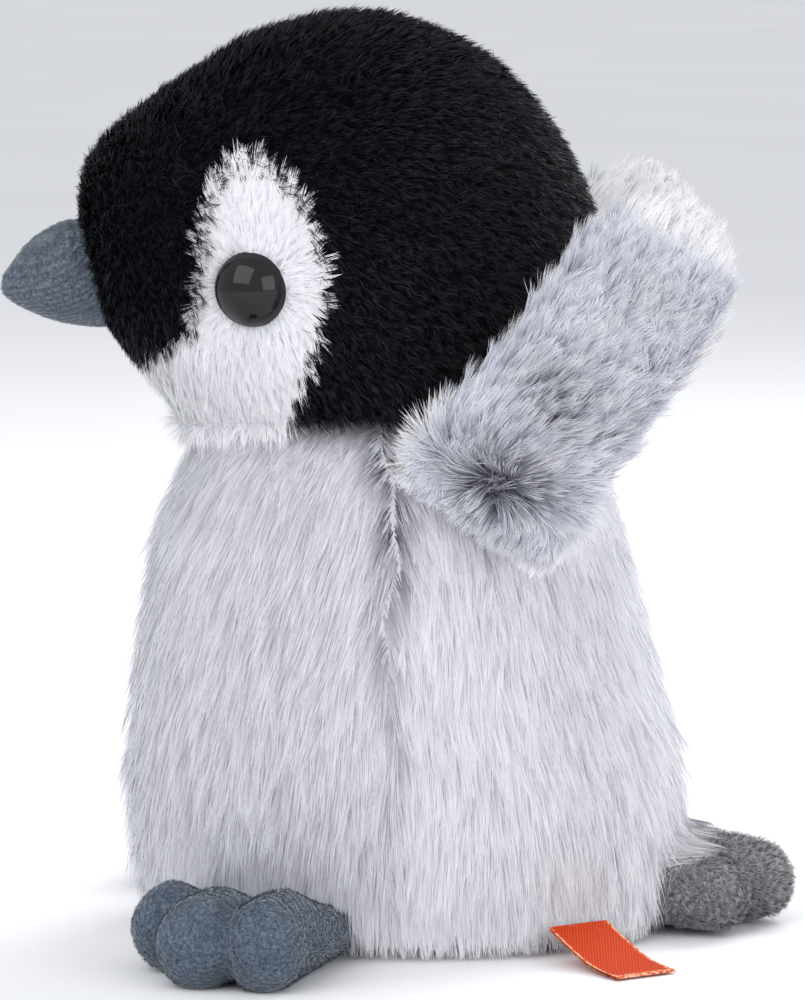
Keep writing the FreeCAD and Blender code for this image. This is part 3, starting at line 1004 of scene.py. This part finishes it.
def make_wing(side, seed):
    root, along, edge, out = wing_axes(side)
    panels = [side + "_wing_outer_panel", side + "_wing_inner_panel"]
    skin = remeshed(side + "_wing_skin", joined(panels + [side + "_wing_stuffing"]), 1.5 * MM, 5)
    shrink(skin, 1.8 * MM)
    inflate(skin, 2.5, 1.5 * MM, lambda p: (p - root) @ along < 4 * MM)
    points = points_of(skin)
    reach, across = (points - root) @ along, (points - root) @ edge
    fuller = np.clip((reach - 15 * MM) / (35 * MM), 0, 1) * np.clip(across / (12 * MM), 0, 1)
    smoothed(set_points(skin, points + 4 * MM * fuller[:, None] * edge))
    surface = Skin(skin)
    spot = surface.centres - root
    reach, across, depth = spot @ along, spot @ edge, spot @ out
    rim = np.maximum(np.abs(across) / (19 * MM), (reach / (68 * MM)) ** 2)
    outer = (depth > 0) & (rim < 0.9)

    def flow(points):
        place = points - root - along * WING_CROWN
        up_wing = np.tanh(place @ along / (6 * MM))[:, None]
        near = bell(np.linalg.norm(place, axis=1), 20 * MM)[:, None]
        swirl = np.cross(place, out) / (14 * MM)
        return along * up_wing + near * (unit(place) + swirl) + (0.25 * up_wing - 0.2) * UP

    def length(points):
        far = (points - root) @ along
        return np.interp(far, [-6 * MM, 10 * MM, 75 * MM], [5.0 * MM, 9.0 * MM, 6.0 * MM])

    def dark(points):
        place = points - root
        far, wide = place @ along, place @ edge
        spots = sum(np.exp(-(((far - u) / (6 * MM)) ** 2) - ((wide - v) / (9 * MM)) ** 2)
                    for u, v in ((WING_CROWN, 0), (WING_CROWN + 20 * MM, -3 * MM)))
        rim_fade = np.clip(1.3 - np.abs(wide) / (15 * MM), 0, 1)
        tip_fade = np.clip((70 * MM - far) / (20 * MM), 0, 1)
        streaks = waves(wide + 0.2 * far, (0.10, 5.1 * MM, 0.0), (0.08, 8.3 * MM, 1.0))
        return np.clip((0.28 + streaks + spots) * rim_fade * tip_fade, 0, 1)

    frosted = pile(pile_name(panels[0]), surface, outer, WING_STRANDS, seed, flow, length,
                   0.19 * MM, 0.45, 0.1, 3.6 * MM, pull=0.4, wander=0.32, dark=dark, soft=0.85)
    pale = pile(pile_name(panels[1]), surface, ~outer, WING_STRANDS, seed + 1, flow, length,
                0.19 * MM, 0.38, 0.08, 3.0 * MM, pull=0.35, wander=0.2, soft=0.9)
    body = side + "_wing"
    dress(frosted, FROSTED, body, "frosted_pile", panels[0])
    dress(pale, WING_WHITE, body, "white_wing_pile", panels[1])
    dress(skin, GREY_BACKING, body, "frosted_pile", side + "_wing_stuffing")


# ---------------------------------------------------------------- feet and tail


def away_from(root):
    """A pile's flow that runs away from a joint, and a little upwards."""
    return lambda points: unit(points - root) + 0.1 * UP


def make_foot(side, seed):
    names = [f"{side}_foot_{part}" for part in ("upper", "sole", "stuffing")]
    root = joint_place(side + "_foot_lift")
    foot = remeshed(side + "_foot", joined(names), 1.0 * MM, 5)
    shrink(foot, 0.35 * MM)
    inflate(foot, 2.5, 0.9 * MM, lambda p: np.linalg.norm(p - root, axis=1) < 9 * MM)
    points = points_of(foot)
    out = np.hypot(points[:, 0] - root[0], points[:, 1] - root[1])
    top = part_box(names[0])[1][2]
    drop = INSTEP_DROP * np.clip((27 * MM - out) / (14 * MM), 0, 1)
    points[:, 2] *= 1 - drop / top
    points[:, 2] = np.maximum(points[:, 2], GROUND_GAP)
    smoothed(set_points(foot, points))
    surface = Skin(foot)
    fur = pile(side + "_foot_fuzz", surface, surface.facing[:, 2] > -0.85, 20000, seed,
               away_from(root), 1.0 * MM, 0.15 * MM, 0.8, 0.35, 0.9 * MM,
               pull=0.3, wander=0.6, rings=SHORT_RINGS, floor=0.1 * MM)
    dress(fur, FOOT_PILE, side + "_foot", "foot_velour", names[0])
    dress(foot, FOOT_VELOUR, side + "_foot", "foot_velour", names[1], names[2])


def make_tail():
    names = ["tail_upper_panel", "tail_lower_panel", "tail_stuffing"]
    root = joint_place("tail_lift")
    tail = remeshed("tail", joined(names), 1.0 * MM, 5)
    shrink(tail, 1.2 * MM)
    inflate(tail, 2.5, 0.8 * MM, lambda p: p[:, 1] < root[1])
    points = points_of(tail)
    points[:, 2] = np.maximum(points[:, 2], GROUND_GAP)
    smoothed(set_points(tail, points))
    surface = Skin(tail)
    fur = pile("tail_pile", surface, surface.facing[:, 2] > -0.8, 18500, 70,
               away_from(root), 2.3 * MM, 0.18 * MM, 0.9, 0.35, 1.4 * MM,
               pull=0.35, wander=0.45, floor=0.2 * MM)
    dress(fur, TAIL_GREY, "tail", "tail_plush", names[0])
    dress(tail, GREY_BACKING, "tail", "tail_plush", names[1], names[2])


# ---------------------------------------------------------------- label


def make_label():
    """A ribbon folded in half at its far end, which falls from the hem to the ground."""
    root = joint_place("label_flip")
    axis = joint_axis("label_flip")
    out = unit(points_of(NODES["side_label"]).mean(axis=0) - root)
    out = unit(out - (out @ axis) * axis)
    out[2] = 0
    out = unit(out)
    last = LABEL_ROWS - 1
    sides = [2 * k / (LABEL_COLUMNS - 1) - 1 for k in range(LABEL_COLUMNS)]
    bm = bmesh.new()
    grid = []
    for layer, order in ((1, range(LABEL_ROWS)), (-1, reversed(range(LABEL_ROWS)))):
        for i in order:
            share = i / last
            into_fold = max(0.0, (share - FOLD_START) / (1 - FOLD_START))
            opening = LAYER_LIFT * math.sqrt(max(0.0, 1 - into_fold**2))
            fall = (root[2] - 0.9 * MM) * (1 - share) ** 1.9
            wave = 0.2 * MM * math.sin(share * 5.2) ** 2
            lift = 0.45 * MM + fall + wave + layer * opening
            middle = root * np.array([1, 1, 0]) + out * (share * LABEL_REACH) + UP * lift
            grid.append([bm.verts.new(middle + axis * (side * LABEL_WIDTH / 2)) for side in sides])
    for low, high in zip(grid, grid[1:]):
        for k in range(LABEL_COLUMNS - 1):
            bm.faces.new((low[k], low[k + 1], high[k + 1], high[k]))
    mesh = bpy.data.meshes.new("label_ribbon")
    bm.to_mesh(mesh)
    bm.free()
    rim = mesh.attributes.new("rim", "FLOAT", "POINT")
    for i, corner in enumerate(rim.data):
        to_fold = 1 - abs(i // LABEL_COLUMNS - LABEL_ROWS + 0.5) / LABEL_ROWS
        corner.value = max(abs(sides[i % LABEL_COLUMNS]), to_fold)
    label = smoothed(add("label_ribbon", mesh))
    dress(label, label_material(), "label", "label_ribbon", "side_label")


# ---------------------------------------------------------------- light and camera


def area_light(name, place, target, size, power, colour=(1, 1, 1)):
    data = bpy.data.lights.new(name, "AREA")
    data.shape = "RECTANGLE"
    data.size, data.size_y = size
    data.energy = power
    data.color = colour
    lamp = add(name, data)
    lamp.location = place
    aim = Vector(target) - Vector(place)
    lamp.rotation_euler = aim.to_track_quat("-Z", "Y").to_euler()


def make_studio():
    bpy.ops.mesh.primitive_plane_add(size=FLOOR_SIZE)
    floor = bpy.context.object
    floor.name = "floor"
    paper = even_material("floor_paper", 3.0, (0.88, 0.88, 0.89), (0.91, 0.91, 0.92), Roughness=0.9)
    floor.data.materials.append(paper)
    world = bpy.data.worlds.new("studio")
    bpy.context.scene.world = world
    world.use_nodes = True
    sky = world.node_tree.nodes["Background"]
    sky.inputs["Color"].default_value = (0.93, 0.95, 1.0, 1)
    sky.inputs["Strength"].default_value = 0.8
    middle = (0, 0, 0.1)
    area_light("key", (0.75, -0.55, 0.85), middle, (1.0, 1.0), 6.0)
    area_light("fill", (0.9, 0.8, 0.45), middle, (0.8, 0.8), 4.0, (1.0, 0.99, 0.97))
    area_light("back", (-0.7, 0.6, 0.8), middle, (0.7, 0.7), 8.0)
    bpy.context.scene.view_settings.view_transform = "Standard"


def make_camera():
    data = bpy.data.cameras.new("camera")
    camera = add("camera", data)
    camera.location = (CAMERA_DISTANCE, AIM.y, CAMERA_HEIGHT)
    aim = AIM - camera.location
    camera.rotation_euler = aim.to_track_quat("-Z", "Y").to_euler()
    data.lens = data.sensor_width * aim.length / PICTURE_HEIGHT
    data.clip_start = NEAREST_SEEN
    bpy.context.scene.camera = camera


# ---------------------------------------------------------------- the toy

make_camera()
make_studio()
make_torso()
make_neck()
make_head()
make_beak()
make_eyes()
make_wing("left", 60)
make_wing("right", 64)
make_foot("left", 80)
make_foot("right", 82)
make_tail()
make_label()
